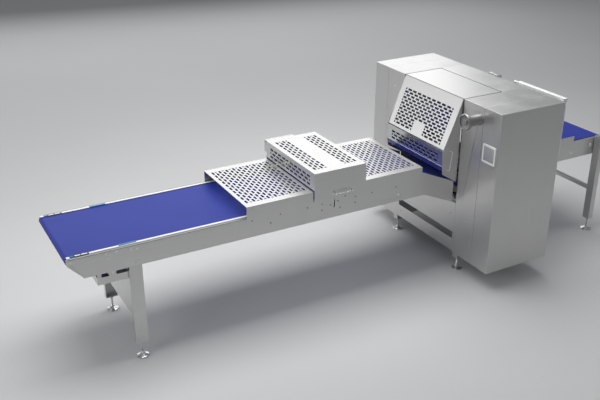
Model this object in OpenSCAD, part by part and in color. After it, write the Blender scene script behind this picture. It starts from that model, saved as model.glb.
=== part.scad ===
/* [Head] */
// Depth of the sheeting head along the dough flow
head_depth = 618; // [560:1:760]
// Height of the head's top above the floor
head_h = 1460; // [1400:1:1760]
// Width of one inner column
column_w = 232; // [200:1:300]
// Width of one outer cover
cover_w = 194; // [120:1:260]
// Height of the cabinet floors above the floor
cabinet_z = 144; // [120:1:170]
// Thickness of the sheet metal
sheet = 3; // [2:0.5:4]
// Gap between neighbouring covers
seam = 2; // [1.5:0.5:4]

/* [Rollers] */
// Diameter of both sheeting rollers
roller_d = 260; // [220:1:280]
// Opening between the rollers at rest
roller_gap = 12; // [8:1:20]
// How far the lower sheeting roller's axis lies below the belt
roller_drop = 367; // [350:1:400]
// Diameter of the sheeting rollers' shafts
shaft_d = 60; // [40:1:64]
// How far the upper roller can be lifted
lift = 32; // [20:1:45]
// Radial running clearance of every shaft
run_clear = 0.05; // [0.03:0.01:0.08]

/* [Infeed conveyor] */
// Distance from the head's front to the infeed end of the belt
infeed_len = 3107; // [2900:1:3500]
// Width of the belts
belt_w = 690; // [570:1:830]
// Width of the edge beside the belt, out to the side plate's face
edge_w = 25; // [24:1:40]
// Gap between a conveyor side plate and the head's column
throat_gap = 18; // [18:1:30]
// Height of the belts' upper surface
belt_z = 877; // [800:1:960]
// Thickness of the belts
belt_t = 3; // [2:0.5:4]
// Height of the side plates above their lower edge
plate_h = 150; // [140:1:165]
// Thickness of the side plates
plate_t = 4; // [3:0.5:6]
// Distance from the infeed end of the belt to the infeed leg
leg_inset = 449; // [430:1:540]

/* [Guards] */
// Distance from the head's front to the start of the belt guard
guard_start = 1844; // [1700:1:2000]
// Height of the flat guard above the belt
guard_rise = 86; // [80:1:100]
// Distance from the head's front to the start of the raised cover
box_start = 1307; // [1250:1:1350]
// Length of the raised cover
box_len = 437; // [380:1:460]
// Height of the raised cover above the flat guard
box_rise = 142; // [120:1:170]
// Length of one slot in the perforated sheets
slot_l = 45; // [36:1:48]
// Width of one slot in the perforated sheets
slot_w = 14.5; // [8:0.5:16]
// Distance between the slots in a row
slot_pitch = 64; // [60:1:80]
// Distance between the rows of slots in the flat guard
row_pitch = 28.6; // [24:0.2:36]

/* [Outfeed conveyor] */
// Distance from the head's back to the end of the outfeed belt
outfeed_len = 982; // [900:1:1200]

/* [Feet] */
// Diameter of a levelling foot
foot_d = 90; // [70:1:110]
// Diameter of a levelling spindle
spindle_d = 16; // [12:1:20]

/* [Hidden] */
$fn = 48;
steel = [0.80, 0.80, 0.79];
bright = [0.88, 0.88, 0.87];
dark = [0.20, 0.21, 0.23];
belt_blue = [0.12, 0.16, 0.55];
poly_white = [0.93, 0.93, 0.92];
cyan = [0.10, 0.62, 0.80];

// every part is drawn with x = 0 at the head's front, then moved so that the
// machine's middle stands on the origin
front_x = -infeed_len;
infeed_leg_x = infeed_len - leg_inset;
back_x = head_depth + outfeed_len;
origin_x = (front_x + back_x) / 2;
mid_x = head_depth / 2;

belt_half = belt_w / 2;
half = belt_half + edge_w;
throat = half + throat_gap;
col_out = throat + column_w;
cov_in = col_out + seam;
cov_out = cov_in + cover_w;
strip_z = belt_z + 3;
strip_t = 8;
plate_top = strip_z - strip_t;
plate_low = plate_top - plate_h;
strip_in = belt_half + 5;
roller_half = belt_half + 15;
shaft_r = shaft_d / 2;
roller_r = roller_d / 2;
lower_roller_z = belt_z - roller_drop;
upper_roller_z = lower_roller_z + roller_d + roller_gap;

// the conveyors run level, then slope down to the rollers
slope = 23.5;
end_r = 24;
drive_r = 42;
dip_r = 30;
bar_r = 20;
end_z = belt_z - belt_t - end_r;
end_x = front_x + end_r + belt_t;
kink_x = -322;
// the tail roller lies on the slope, this far clear of the lower roller
tail_gap = 9.9;
tail_reach = roller_r + end_r + belt_t + tail_gap;
tail_run = mid_x - kink_x;
tail_fall = end_z - lower_roller_z;
tail_sum = tail_run + tail_fall * tan(slope);
tail_left = pow(tail_run, 2) + pow(tail_fall, 2) - pow(tail_reach, 2);
tail_x = kink_x + (tail_sum - sqrt(pow(tail_sum, 2) - tail_left / pow(cos(slope), 2))) * pow(cos(slope), 2);
tail_z = end_z - (tail_x - kink_x) * tan(slope);
drive_x = -560;
drive_z = belt_z - 102;
bar_z = belt_z - 115;
bar1_x = -420;
bar2_x = -700;
bar3_x = -infeed_leg_x - 72;
bar4_x = bar3_x - 170;
dip_x = (bar3_x + bar4_x) / 2;
dip_z = belt_z - 162;
out_end_x = back_x - end_r - belt_t;
out_drive_x = head_depth + 632;
out_bars = [head_depth - bar1_x, out_drive_x + 140];
end_shaft_r = 10;
drive_shaft_r = 15;

bed_top = belt_z - belt_t - 0.5;
bed_half = belt_half - 4;
bed_drop = 50;
cross_s = 30;
cross_top = bed_top - sheet - bed_drop;
tail_plate_in = belt_half + 5;
tail_plate_t = 5;

guard_end = -345;
skirt_out = half + 0.3 + sheet;
slot_rim = 58;
slot_n = floor((2 * (skirt_out - slot_rim) - slot_l) / slot_pitch) + 1;
grille_rim = 30;
skirt_z = belt_z - 39;
guard_z = belt_z + guard_rise;
box_z = guard_z + box_rise;
box_x0 = -box_start;
box_x1 = box_x0 + box_len;
box_half = skirt_out + 8.7;
box_rim = 49;
band_rows = 4;
box_seam_z = belt_z + 9;
box_hinge_y = box_half + 14;
box_hinge_z = box_seam_z + 19;
box_pin_r = 5;
box_lugs = [box_x0 + 127, box_x1 - 80];
lug_w = 6;

hood_gap = 10;
hood_half = throat - hood_gap;
hood_inner = 2 * hood_half - 2 * sheet - 1;
hood_first_row = 33;
hood_rows = 13;
hood_row_pitch = 24;
patch_half = slot_pitch + (slot_pitch - slot_l) / 2 - 1;
patch_top = hood_first_row + 3.5 * hood_row_pitch;
hood_rear_x = 366;
hood_rear_gap = 9;
fold_x = -152;
fold_z = belt_z + 185;
grille_low_x = -157;
grille_low_z = belt_z + 55;
hood_pin_x = 356;
hood_pin_z = head_h - 14;
hood_pin_r = 6;

wheel_y = -throat - 184;
wheel_z = head_h - 105;
wheel_r = 62;
tube_r = 42;
tube_l = 112;
wheel_shaft_r = 12;

frame_in = throat + sheet + 3;
frame_t = 15;
frame_half = 160;
block_w = 189;
block_h = 160;
block_out = frame_in + 40;
screw_r = 12;
screw_y = frame_in + frame_t + screw_r + 1;
nut_z = upper_roller_z + block_h / 2 + lift + 260;

leg_w = 90;
leg_d = 40;
leg_bottom = 110;
leg_web = half - plate_t - 0.3;
out_leg_x = head_depth + 912;
bracket_z = 103;

// ---- helpers ----

module placed() {
    translate([-origin_x, 0, 0]) children();
}

// a box between two corners
module block(a, b) {
    translate(a) cube(b - a);
}

// a bar of radius r along Y between y0 and y1
module y_bar(x, z, y0, y1, r) {
    translate([x, y0, z]) rotate([-90, 0, 0]) cylinder(h = y1 - y0, r = r);
}

// an outline in the XZ plane, as thick as y1 - y0
module xz_sheet(y0, y1) {
    translate([0, y1, 0]) rotate([90, 0, 0]) linear_extrude(height = y1 - y0) children();
}

// the same piece on the far side as on the near side
module both_sides() {
    children();
    mirror([0, 1, 0]) children();
}

// slots laid like bricks in a sheet that starts at the origin and is h wide along Y: rows of full
// slots take turns with rows that begin and end with a short one; first is the first row's X
module slot_rows(h, first, rows, pitch, short_first = false) {
    field = (slot_n - 1) * slot_pitch + slot_l;
    start = (h - field) / 2;
    for (i = [0:rows - 1]) {
        moved = (i + (short_first ? 1 : 0)) % 2;
        translate([first + i * pitch - slot_w / 2, start]) intersection() {
            square([slot_w, field]);
            for (j = [0:slot_n]) translate([0, (j - moved / 2) * slot_pitch]) square([slot_w, slot_l]);
        }
    }
}

// ---- belt path: pulleys as [x, z, radius, side], side 1 inside the loop and -1 outside ----

function turn(p, d) = p[3] * (p[3] > 0 ? p[2] + d : p[2] + belt_t - d);
function heading(p, q, d) =
    let (dx = q[0] - p[0], dz = q[1] - p[1], len = sqrt(dx * dx + dz * dz))
    atan2(dz, dx) - asin((turn(p, d) - turn(q, d)) / len);
function swing(a, side) = side > 0
    ? (a > 0 ? a - 360 : a <= -360 ? a + 360 : a)
    : (a < 0 ? a + 360 : a >= 360 ? a - 360 : a);
function belt_side(p, d) = [
    for (i = [0:len(p) - 1])
        let (
            last = p[(i + len(p) - 1) % len(p)],
            next = p[(i + 1) % len(p)],
            a0 = heading(last, p[i], d) + 90,
            a1 = heading(p[i], next, d) + 90,
            da = swing(a1 - a0, p[i][3]),
            steps = max(2, ceil(abs(da) / 12)),
            r = turn(p[i], d)
        )
        for (k = [0:steps])
            [p[i][0] + r * cos(a0 + da * k / steps), p[i][1] + r * sin(a0 + da * k / steps)]
];

module belt_loop(pulleys) {
    difference() {
        xz_sheet(-belt_half, belt_half) polygon(belt_side(pulleys, belt_t));
        xz_sheet(-belt_half - 1, belt_half + 1) polygon(belt_side(pulleys, 0));
    }
}

// ---- head ----

panel_low_z = cabinet_z + 11;
panel_top_z = lower_roller_z + 75;
panel_slot_z = cabinet_z + 120;
panel_slot_h = 60;
outlet_top_z = upper_roller_z + 218;

module front_panel() {
    placed() color(steel) difference() {
        block([0, -throat + 0.5, panel_low_z], [sheet, throat - 0.5, panel_top_z]);
        block([-1, -throat + 12, panel_slot_z], [sheet + 1, throat - 12, panel_slot_z + panel_slot_h]);
    }
}

module rear_panel() {
    placed() color(steel) union() {
        block([head_depth - sheet, -throat + 0.5, panel_low_z], [head_depth, throat - 0.5, panel_top_z]);
        block([head_depth - sheet, -throat + 0.5, outlet_top_z], [head_depth, throat - 0.5, head_h - sheet - 0.5]);
    }
}

module side_frame_near() {
    difference() {
        union() {
            block([mid_x - frame_half, -frame_in - frame_t, cabinet_z + sheet], [mid_x + frame_half, -frame_in, nut_z]);
            block([mid_x - 60, -screw_y - screw_r - 8, nut_z], [mid_x + 60, -frame_in, nut_z + 40]);
        }
        // window in which the bearing block slides
        block([mid_x - block_w / 2 - 0.5, -block_out, upper_roller_z - block_h / 2 - 6],
              [mid_x + block_w / 2 + 0.5, 0, nut_z - 30]);
        y_bar(mid_x, lower_roller_z, -block_out, 0, 70);
        translate([mid_x, -screw_y, nut_z - 1]) cylinder(h = 42, r = screw_r + run_clear);
    }
}

module side_frames() {
    placed() color(dark) both_sides() side_frame_near();
}

module column_shell() {
    difference() {
        block([0, -col_out, cabinet_z], [head_depth, -throat, head_h]);
        block([sheet, -col_out - 1, cabinet_z + sheet], [head_depth - sheet, -throat - sheet, head_h - sheet]);
        y_bar(mid_x, lower_roller_z, -throat - sheet - 1, -throat + 1, shaft_r + 5);
        // the upper shaft lifts through this slot
        y_bar(mid_x, upper_roller_z, -throat - sheet - 1, -throat + 1, shaft_r + 5);
        y_bar(mid_x, upper_roller_z + lift, -throat - sheet - 1, -throat + 1, shaft_r + 5);
        block([mid_x - shaft_r - 5, -throat - sheet - 1, upper_roller_z],
              [mid_x + shaft_r + 5, -throat + 1, upper_roller_z + lift]);
        y_bar(hood_pin_x, hood_pin_z, -throat - sheet - 1, -throat + 1, hood_pin_r + run_clear);
    }
    // pads that carry the levelling feet
    for (x = [4, head_depth - 64])
        block([x, -throat - 65, bracket_z], [x + 60, -throat - 5, cabinet_z]);
}

module column_near() {
    placed() color(steel) difference() {
        column_shell();
        translate([-1, wheel_y, wheel_z]) rotate([0, 90, 0]) cylinder(h = 10, r = wheel_shaft_r + 3);
    }
}

module column_far() {
    placed() color(steel) mirror([0, 1, 0]) column_shell();
}

module cover_shell() {
    difference() {
        block([0, -cov_out, cabinet_z], [head_depth, -cov_in, head_h]);
        block([sheet, -cov_out + sheet, cabinet_z + sheet], [head_depth - sheet, -cov_in + 1, head_h - sheet]);
    }
    // hooks that hang the cover on the column's front and back
    for (x = [sheet + 0.2, head_depth - sheet - 4.2], z = [cabinet_z + 60, head_h - 120])
        block([x, -cov_in - 20, z], [x + 4, -col_out + 20, z + 50]);
}

module cover_near() {
    placed() color(steel) cover_shell();
}

module cover_far() {
    placed() color(steel) mirror([0, 1, 0]) cover_shell();
}

module rear_top_cover() {
    placed() color(steel) union() {
        block([hood_rear_x + hood_rear_gap, -throat + 0.5, head_h - sheet], [head_depth, throat - 0.5, head_h]);
        block([hood_rear_x + 16, -throat + 0.5, head_h - 40], [hood_rear_x + 19, throat - 0.5, head_h - sheet]);
    }
}

hmi_y = -throat - 329;
hmi_z = head_h - 342;
hmi_s = 146;
hmi_rim = 13;

module hmi_bezel() {
    placed() color(poly_white) difference() {
        block([-6, hmi_y - hmi_s / 2, hmi_z - hmi_s / 2], [0, hmi_y + hmi_s / 2, hmi_z + hmi_s / 2]);
        block([-7, hmi_y - hmi_s / 2 + hmi_rim, hmi_z - hmi_s / 2 + hmi_rim],
              [1, hmi_y + hmi_s / 2 - hmi_rim, hmi_z + hmi_s / 2 - hmi_rim]);
    }
}

module hmi_screen() {
    placed() color([0.62, 0.64, 0.66])
        block([-4, hmi_y - hmi_s / 2 + hmi_rim, hmi_z - hmi_s / 2 + hmi_rim],
              [0, hmi_y + hmi_s / 2 - hmi_rim, hmi_z + hmi_s / 2 - hmi_rim]);
}

module handwheel_housing() {
    placed() color(steel) translate([0, wheel_y, wheel_z]) rotate([0, -90, 0]) difference() {
        union() {
            cylinder(h = tube_l, r = tube_r);
            cylinder(h = 6, r = tube_r + 5);
        }
        translate([0, 0, -1]) cylinder(h = tube_l + 2, r = wheel_shaft_r + run_clear);
    }
}

module handwheel() {
    placed() color(bright) translate([-tube_l - 2, wheel_y, wheel_z]) rotate([0, -90, 0]) union() {
        difference() {
            cylinder(h = 30, r = wheel_r);
            translate([0, 0, 14]) cylinder(h = 17, r = wheel_r - 10);
        }
        cylinder(h = 26, r = 22);
        translate([0, 0, -tube_l - 40]) cylinder(h = tube_l + 41, r = wheel_shaft_r);
        // grip
        translate([wheel_r - 5, 0, 29]) cylinder(h = 34, r = 4);
    }
}

module lower_bearings() {
    placed() color(dark) both_sides() difference() {
        union() {
            y_bar(mid_x, lower_roller_z, -block_out, -frame_in + 1, 69.9);
            y_bar(mid_x, lower_roller_z, -block_out, -frame_in - frame_t - 0.2, 84);
        }
        y_bar(mid_x, lower_roller_z, -block_out - 1, 0, shaft_r + run_clear);
    }
}

module lower_scraper() {
    placed() color(bright) union() {
        // blade laid against the lower roller's back, on a square bar
        translate([mid_x + roller_r + 7.3, -roller_half, lower_roller_z - 40]) rotate([0, -8, 0])
            cube([3, 2 * roller_half, 50]);
        block([mid_x + roller_r + 6, -throat, lower_roller_z - 68],
              [mid_x + roller_r + 30, throat, lower_roller_z - 38]);
    }
}

module gearbox(z, up) {
    difference() {
        union() {
            block([mid_x - 70, block_out, z - 75], [mid_x + 70, block_out + 130, z + 75]);
            translate([mid_x, block_out + 80, up ? z + 75 : z - 75 - 190]) cylinder(h = 190, r = 50);
        }
        y_bar(mid_x, z, block_out - 1, block_out + 90, shaft_r + run_clear);
    }
}

module lower_gearmotor() {
    placed() color(dark) gearbox(lower_roller_z, false);
}

module upper_gearmotor() {
    placed() color(dark) gearbox(upper_roller_z, true);
}

module carriages() {
    placed() color(dark) both_sides() {
        difference() {
            block([mid_x - block_w / 2, -block_out, upper_roller_z - block_h / 2],
                  [mid_x + block_w / 2, -frame_in + 1, upper_roller_z + block_h / 2]);
            y_bar(mid_x, upper_roller_z, -block_out - 1, 0, shaft_r + run_clear);
        }
        translate([mid_x, -screw_y, upper_roller_z + block_h / 2 - 0.5])
            cylinder(h = nut_z + 60 - upper_roller_z - block_h / 2, r = screw_r);
    }
}

module sheeting_roller(z) {
    color(bright) union() {
        y_bar(mid_x, z, -roller_half, roller_half, roller_r);
        y_bar(mid_x, z, -roller_half - 20, roller_half + 20, shaft_r + 4);
        y_bar(mid_x, z, -block_out - 6, block_out + 84, shaft_r);
    }
}

module upper_roller() {
    placed() sheeting_roller(upper_roller_z);
}

module lower_roller() {
    placed() sheeting_roller(lower_roller_z);
}

// a levelling foot whose spindle ends at the height top
module foot(top) {
    cylinder(h = 9, r = foot_d / 2);
    translate([0, 0, 8.9]) cylinder(h = 12, r1 = foot_d / 2 - 8, r2 = 15);
    cylinder(h = top, r = spindle_d / 2);
    translate([0, 0, top - 12]) cylinder(h = 12, r = spindle_d * 0.9, $fn = 6);
}

module head_feet() {
    placed() color(bright)
        for (x = [34, head_depth - 34], side = [-1, 1])
            translate([x, side * (throat + 35), 0]) foot(bracket_z);
}

module rear_trunking() {
    placed() color(poly_white) union() {
        block([head_depth + 50, -col_out - 130, head_h - 32], [head_depth + 84, -throat + 158, head_h - 8]);
        // brackets down the back of the head
        for (y = [-col_out - 115, -throat - 82, -throat + 88])
            block([head_depth, y, head_h - 44], [head_depth + 84, y + 24, head_h - 31.9]);
        block([head_depth, -col_out - 160, outlet_top_z], [head_depth + 46, -col_out - 80, head_h - 44]);
    }
}

// ---- infeed conveyor ----

slope_low_x = -25;
slope_foot_x = -310;
plate_rise_x = -331;
side_guide = 35;

module infeed_outline() {
    polygon([
        [-infeed_len + 107, plate_low],
        [-infeed_len + 7, plate_low + 110],
        [-infeed_len + 7, plate_top],
        [guard_end, plate_top],
        [guard_end, plate_top + side_guide],
        [plate_rise_x, belt_z + side_guide],
        [slope_low_x, belt_z + side_guide - (slope_low_x - plate_rise_x) * tan(slope)],
        [slope_low_x, plate_low - (slope_low_x - slope_foot_x) * tan(slope)],
        [slope_foot_x, plate_low]
    ]);
}

module infeed_plate() {
    difference() {
        union() {
            xz_sheet(-half, -half + plate_t) infeed_outline();
            block([-infeed_len + 7, -half + plate_t - 0.1, plate_top - 4], [guard_end, -strip_in, plate_top]);
            block([-infeed_len + 110, -half + plate_t - 0.1, plate_low], [-320, -half + 20, plate_low + 3]);
        }
        y_bar(end_x, end_z, -half - 1, -half + 7, end_shaft_r + run_clear);
        y_bar(drive_x, drive_z, -half - 1, -half + 7, drive_shaft_r + run_clear);
        // clearance for the legs, which stand inside the flanges
        block([-infeed_leg_x - leg_w / 2 - 1, -half + plate_t, plate_low - 1],
              [-infeed_leg_x + leg_w / 2 + 1, -half + 40, plate_low + 4]);
        // long slot for the raised cover's stay
        block([box_x0 + 171, -half - 1, plate_top - 69], [box_x0 + 179, -half + plate_t + 1, plate_top - 10]);
        y_bar(dip_x, dip_z, -half - 1, -half + 7, end_shaft_r + run_clear);
        block([dip_x - 15, -half + plate_t, plate_low - 1], [dip_x + 15, -half + 40, plate_low + 12]);
    }
    // lug below the plate that holds the tension roller
    difference() {
        block([dip_x - 25, -half + plate_t - 0.1, dip_z - 22], [dip_x + 25, -half + plate_t + 5, dip_z + 40]);
        y_bar(dip_x, dip_z, -half - 1, -half + 12, end_shaft_r + run_clear);
    }
}

module infeed_plate_near() {
    placed() color(steel) infeed_plate();
}

module infeed_plate_far() {
    placed() color(steel) mirror([0, 1, 0]) infeed_plate();
}

// a sloping slab of the bed and its side plates, drawn along the slope
slope_len = (tail_x - kink_x) / cos(slope);

module on_slope() {
    translate([kink_x, 0, end_z]) rotate([0, slope, 0]) children();
}

module bed_level(x0, x1) {
    block([x0, -bed_half, bed_top - sheet], [x1, bed_half, bed_top]);
    for (side = [-1, 1])
        block([x0, side > 0 ? bed_half - sheet : -bed_half, bed_top - sheet - bed_drop],
              [x1, side > 0 ? bed_half : -bed_half + sheet, bed_top - sheet]);
}

module bed_sloping() {
    on_slope() {
        block([8, -bed_half, end_r - 0.5 - sheet], [slope_len - end_r - 6, bed_half, end_r - 0.5]);
        for (side = [-1, 1], x = [70, 330])
            block([x, -tail_plate_in, -12], [x + cross_s, tail_plate_in, end_r - 0.5 - sheet]);
    }
}

module tail_plate() {
    difference() {
        on_slope() block([-4, tail_plate_in, -34], [slope_len + 20, tail_plate_in + tail_plate_t, end_r - 6]);
        y_bar(tail_x, tail_z, tail_plate_in - 1, tail_plate_in + tail_plate_t + 1, end_shaft_r + run_clear);
    }
    on_slope() {
        // spacer to the outer side plate, and the bracket on the head's column
        block([100, tail_plate_in + tail_plate_t - 0.1, -20], [140, half - plate_t, 6]);
        block([400, tail_plate_in + tail_plate_t - 0.1, -20], [440, throat, 6]);
    }
}

module infeed_bed() {
    placed() color(steel) {
        bed_level(end_x + end_r + 8, kink_x - 4);
        bed_sloping();
        both_sides() tail_plate();
    }
}

infeed_path = [
    [end_x, end_z, end_r, 1], [kink_x, end_z, end_r, 1], [tail_x, tail_z, end_r, 1],
    [bar1_x, bar_z, bar_r, -1], [drive_x, drive_z, drive_r, 1], [bar2_x, bar_z, bar_r, -1],
    [bar3_x, bar_z, bar_r, -1], [dip_x, dip_z, dip_r, 1], [bar4_x, bar_z, bar_r, -1]
];

module infeed_belt() {
    placed() color(belt_blue) belt_loop(infeed_path);
}

cross_x0 = bar4_x + 35;
infeed_cross = [for (i = [0:5]) cross_x0 + i * (drive_x - 110 - cross_x0) / 5];
outfeed_cross = [out_drive_x - 170, out_drive_x + 90];
plate_in = half - plate_t;

module cross_bars() {
    placed() color(steel) {
        for (x = concat(infeed_cross, outfeed_cross))
            block([x, -plate_in, cross_top - cross_s], [x + cross_s, plate_in, cross_top]);
        // bars over which the belts return
        for (x = concat([bar1_x, bar2_x, bar3_x, bar4_x], out_bars))
            y_bar(x, bar_z, -plate_in, plate_in, bar_r - 0.3);
    }
}

pad_x = [-infeed_leg_x - 91, -infeed_leg_x + 25];
strip_x0 = -infeed_len + 161;

module edge_strips() {
    placed() color(poly_white) both_sides()
        for (x = [[strip_x0, pad_x[0] - 1], [pad_x[1] + 1, guard_end]])
            block([x[0], -half, plate_top], [x[1], -strip_in, strip_z]);
}

module edge_fittings() {
    placed() color(cyan) both_sides() {
        block([pad_x[0], -half, plate_top], [pad_x[1], -strip_in, strip_z + 3]);
        block([strip_x0 - 92, -half, plate_top], [strip_x0 - 8, -strip_in, strip_z + 3]);
    }
}

module leg_channel() {
    difference() {
        block([-leg_w / 2, -leg_web, leg_bottom], [leg_w / 2, -leg_web + leg_d, bar_z - bar_r - 8]);
        block([-leg_w / 2 + plate_t, -leg_web + plate_t, leg_bottom + 8],
              [leg_w / 2 - plate_t, -leg_web + leg_d + 1, bar_z]);
    }
}

module infeed_legs() {
    placed() color(steel) translate([-infeed_leg_x, 0, 0]) both_sides() leg_channel();
}

panel_low = 340;
pan_low = belt_z - 245;
pan_high = belt_z - 192;
pan_x0 = bar4_x - 15;
panel_x = -infeed_leg_x - leg_w / 2;
pan_half = half - 20.5;

module leg_panel() {
    placed() color(steel) block([panel_x - sheet, -leg_web, panel_low], [panel_x, leg_web, pan_high + 5]);
}

module belt_pan() {
    placed() color(steel) {
        difference() {
            block([pan_x0, -pan_half, pan_low], [panel_x - sheet, pan_half, pan_high]);
            block([pan_x0 + sheet, -pan_half + sheet, pan_low + sheet],
                  [panel_x, pan_half - sheet, pan_high + 1]);
        }
        // straps that hang the pan on the return bar above it
        for (side = [-1, 1])
            block([pan_x0, side > 0 ? pan_half - sheet : -pan_half, pan_high - 1],
                  [pan_x0 + 30, side > 0 ? pan_half : -pan_half + sheet, bar_z - bar_r]);
    }
}

module conveyor_feet() {
    placed() color(bright)
        for (x = [-infeed_leg_x, out_leg_x], side = [-1, 1])
            translate([x, side * (x < 0 ? leg_web - leg_d / 2 : half + 39), 0]) foot(leg_bottom);
}

module bolt(x, z, y, r) {
    translate([x, -y, z]) rotate([90, 0, 0]) cylinder(h = r * 0.7, r = r);
}

skirt_screws = [
    for (x = [-guard_start + 41, -guard_start + 263, box_x0 - 53, box_x0 + 69, box_x1 - 81, box_x1 + 65,
              guard_end - 242]) [x, belt_z - 27]
];
cover_screws = [[box_x0 + 205, belt_z - 29], [box_x0 + 264, belt_z - 1]];
stay_screws = [
    [-guard_start + 187, belt_z - 79], [box_x0 + 70, belt_z - 77], [box_x0 + 141, belt_z - 51],
    [box_x0 + 224, belt_z - 87], [box_x1 - 81, belt_z - 77]
];
leg_screws = [for (dx = [-20, 20], z = [plate_low + 32, plate_top - 24]) [-infeed_leg_x + dx, z]];
nose_screws = [
    [-infeed_len + 260, plate_top - 15], [-infeed_len + 332, plate_top - 11],
    [-infeed_len + 279, plate_top - 48]
];

module frame_bolts() {
    placed() color(bright) both_sides() {
        for (p = concat(leg_screws, nose_screws)) bolt(p[0], p[1], half, 7);
        for (p = stay_screws) bolt(p[0], p[1], half, 5);
        for (p = concat(skirt_screws, cover_screws)) bolt(p[0], p[1], skirt_out, 5);
    }
}

module belt_roller(x, z, r, shaft, y_end) {
    color(bright) union() {
        y_bar(x, z, -belt_half + 0.5, belt_half - 0.5, r - 0.3);
        y_bar(x, z, -y_end, y_end, shaft);
    }
}

module infeed_end_roller() {
    placed() belt_roller(end_x, end_z, end_r, end_shaft_r, half - 0.5);
}

module infeed_drive_roller() {
    placed() belt_roller(drive_x, drive_z, drive_r, drive_shaft_r, half - 0.5);
}

module infeed_tail_roller() {
    placed() belt_roller(tail_x, tail_z, end_r, end_shaft_r, tail_plate_in + tail_plate_t);
}

module tension_roller() {
    placed() belt_roller(dip_x, dip_z, dip_r, end_shaft_r, half - 0.5);
}

// ---- guards ----

module flat_grille(x0, x1) {
    translate([x0, -skirt_out, guard_z - sheet]) linear_extrude(height = sheet) difference() {
        square([x1 - x0, 2 * skirt_out]);
        rows = floor((x1 - x0 - 2 * grille_rim - slot_w) / row_pitch) + 1;
        slot_rows(2 * skirt_out, (x1 - x0 - (rows - 1) * row_pitch) / 2, rows, row_pitch);
    }
}

module front_grille() {
    placed() color(steel) flat_grille(-guard_start, box_x0 - 4);
}

module rear_grille() {
    placed() color(steel) flat_grille(box_x1 + 4, guard_end);
}

module skirt() {
    difference() {
        xz_sheet(-skirt_out, -skirt_out + sheet) polygon([
            [-guard_start, skirt_z], [-guard_start, guard_z - sheet], [box_x0 - 4, guard_z - sheet],
            [box_x0 - 4, box_seam_z], [box_x1 + 4, box_seam_z], [box_x1 + 4, guard_z - sheet],
            [guard_end, guard_z - sheet], [guard_end, skirt_z]
        ]);
        block([box_x0 + 171, -skirt_out - 1, skirt_z - 1], [box_x0 + 179, -half, plate_top]);
    }
}

module skirt_near() {
    placed() color(steel) skirt();
}

// the far skirt carries the raised cover's hinge
module skirt_far() {
    placed() color(steel) {
        mirror([0, 1, 0]) skirt();
        for (x = box_lugs) {
            block([x - 12, skirt_out - 0.1, box_seam_z - 10], [x + 12, box_hinge_y + 10, box_seam_z - 2]);
            for (side = [-1, 1])
                block([x + side * 8.5 - 3, box_hinge_y - 8, box_seam_z - 2.1],
                      [x + side * 8.5 + 3, box_hinge_y + 10, box_hinge_z + 9]);
            translate([x - 11, box_hinge_y, box_hinge_z]) rotate([0, 90, 0]) cylinder(h = 22, r = box_pin_r);
        }
    }
}

module box_top() {
    placed() color(steel) translate([box_x0, -box_half, box_z - sheet]) linear_extrude(height = sheet) difference() {
        square([box_len, 2 * box_half]);
        slot_rows(2 * box_half, box_rim, band_rows, row_pitch);
        slot_rows(2 * box_half, box_len - box_rim - (band_rows - 1) * row_pitch, band_rows, row_pitch, true);
    }
}

module box_wall(x) {
    translate([x, -box_half + sheet, guard_z + 9]) cube([sheet, 2 * box_half - 2 * sheet, box_z - sheet - guard_z - 9]);
}

module box_wall_front() {
    wall_h = box_z - sheet - guard_z - 9;
    placed() color(steel) translate([box_x0 + sheet, -box_half + sheet, guard_z + 9]) rotate([0, -90, 0])
        linear_extrude(height = sheet) difference() {
            square([wall_h, 2 * box_half - 2 * sheet]);
            slot_rows(2 * box_half - 2 * sheet, wall_h * 0.21, 3, wall_h * 0.23);
        }
}

module box_wall_rear() {
    placed() color(steel) box_wall(box_x1 - sheet);
}

module box_side_near() {
    placed() color(steel)
        block([box_x0, -box_half, box_seam_z + 4], [box_x1, -box_half + sheet, box_z - sheet]);
}

module box_side_far() {
    placed() color(steel) {
        block([box_x0, box_half - sheet, box_seam_z + 4], [box_x1, box_half, box_z - sheet]);
        for (x = box_lugs) difference() {
            block([x - lug_w / 2, box_half - 0.1, box_hinge_z - 9], [x + lug_w / 2, box_hinge_y + 9, box_hinge_z + 9]);
            translate([x - lug_w, box_hinge_y, box_hinge_z]) rotate([0, 90, 0])
                cylinder(h = 2 * lug_w, r = box_pin_r + run_clear);
        }
        // housing that stands out behind the cover
        block([box_x0 + 4, box_half - 0.1, box_z - 100], [box_x0 + 255, box_half + 40, box_z - sheet]);
    }
}

handle_x = box_x0 + 169;
handle_l = 138;

module box_handle() {
    placed() color(bright) {
        for (x = [handle_x, handle_x + handle_l])
            translate([x, -box_half, box_seam_z + 36]) rotate([90, 0, 0]) cylinder(h = 30, r = 5);
        translate([handle_x - 5, -box_half - 30, box_seam_z + 36]) rotate([0, 90, 0])
            cylinder(h = handle_l + 10, r = 5);
    }
}

// ---- hood ----

slant = atan2(fold_x - 4, head_h - sheet - fold_z);
slant_len = sqrt(pow(fold_x - 4, 2) + pow(head_h - sheet - fold_z, 2));

module hood_top() {
    placed() color(steel) block([5, -hood_half, head_h - sheet], [hood_rear_x, hood_half, head_h]);
}

module hood_grille() {
    placed() color(steel) translate([fold_x, -hood_half + sheet + 0.5, fold_z]) rotate([0, -90 - slant, 0])
        translate([1, 0, 0]) linear_extrude(height = sheet) difference() {
            square([slant_len - 3, hood_inner]);
            difference() {
                slot_rows(hood_inner, hood_first_row, hood_rows, hood_row_pitch, true);
                translate([-1, hood_inner / 2 - patch_half]) square([patch_top + 1, 2 * patch_half]);
            }
        }
}

module hood_lower_grille() {
    drop = fold_z - grille_low_z - 4;
    placed() color(steel) translate([grille_low_x, -hood_half + sheet + 0.5, grille_low_z]) rotate([0, -90, 0])
        linear_extrude(height = sheet) difference() {
            square([drop, hood_inner]);
            slot_rows(hood_inner, drop * 0.18, 3, drop * 0.22);
        }
}

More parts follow.
